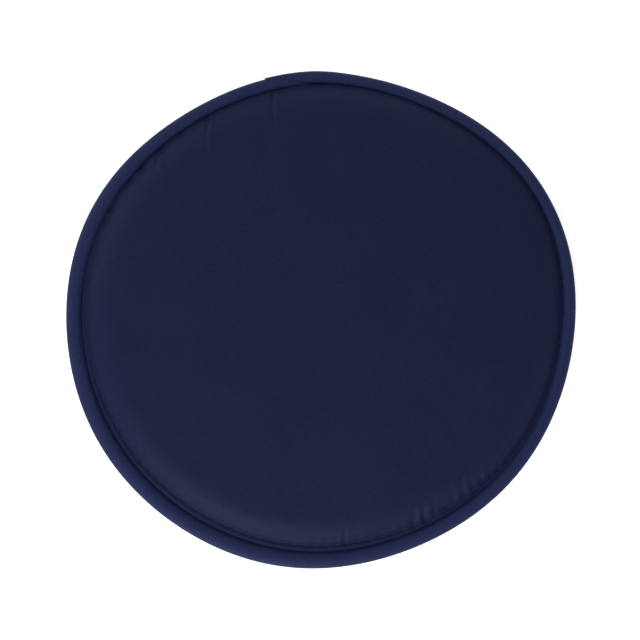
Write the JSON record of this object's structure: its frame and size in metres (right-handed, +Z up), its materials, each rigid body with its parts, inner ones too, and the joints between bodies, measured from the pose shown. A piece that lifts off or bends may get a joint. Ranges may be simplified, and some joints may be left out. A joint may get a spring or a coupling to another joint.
{
  "type": "seat cushion",
  "caption": "Round piped seat pad: a thin foam disc between soft wadding layers, in a navy cloth cover with a corded edge and stitched rim",
  "frame": {"origin": "middle of the pad, on the surface that it rests on", "axes": "+Z up through the pad's thickness; +Y towards the back of the pad, where the two ends of the piping meet; +X to the right"},
  "size_m": [0.3542, 0.3448, 0.0304],
  "materials": {
    "cover_cloth": "matt, closely woven navy cloth",
    "piping_cloth": "matt, closely woven navy cloth, cut on the bias",
    "sewing_thread": "twisted polyester thread, slight sheen",
    "foam": "open-cell polyurethane foam",
    "wadding": "loose white polyester fibre",
    "filler_cord": "soft twisted cotton cord"
  },
  "bodies": {
    "root": {"bottom_panel": "cover_cloth", "bottom_wadding": "wadding", "foam_core": "foam", "top_wadding": "wadding", "top_panel": "cover_cloth", "piping_cord": "filler_cord", "piping_casing": "piping_cloth", "seam_needle_thread": "sewing_thread", "seam_bobbin_thread": "sewing_thread", "top_stitch_needle_thread": "sewing_thread", "top_stitch_bobbin_thread": "sewing_thread", "closing_thread": "sewing_thread"}
  },
  "joints": []
}
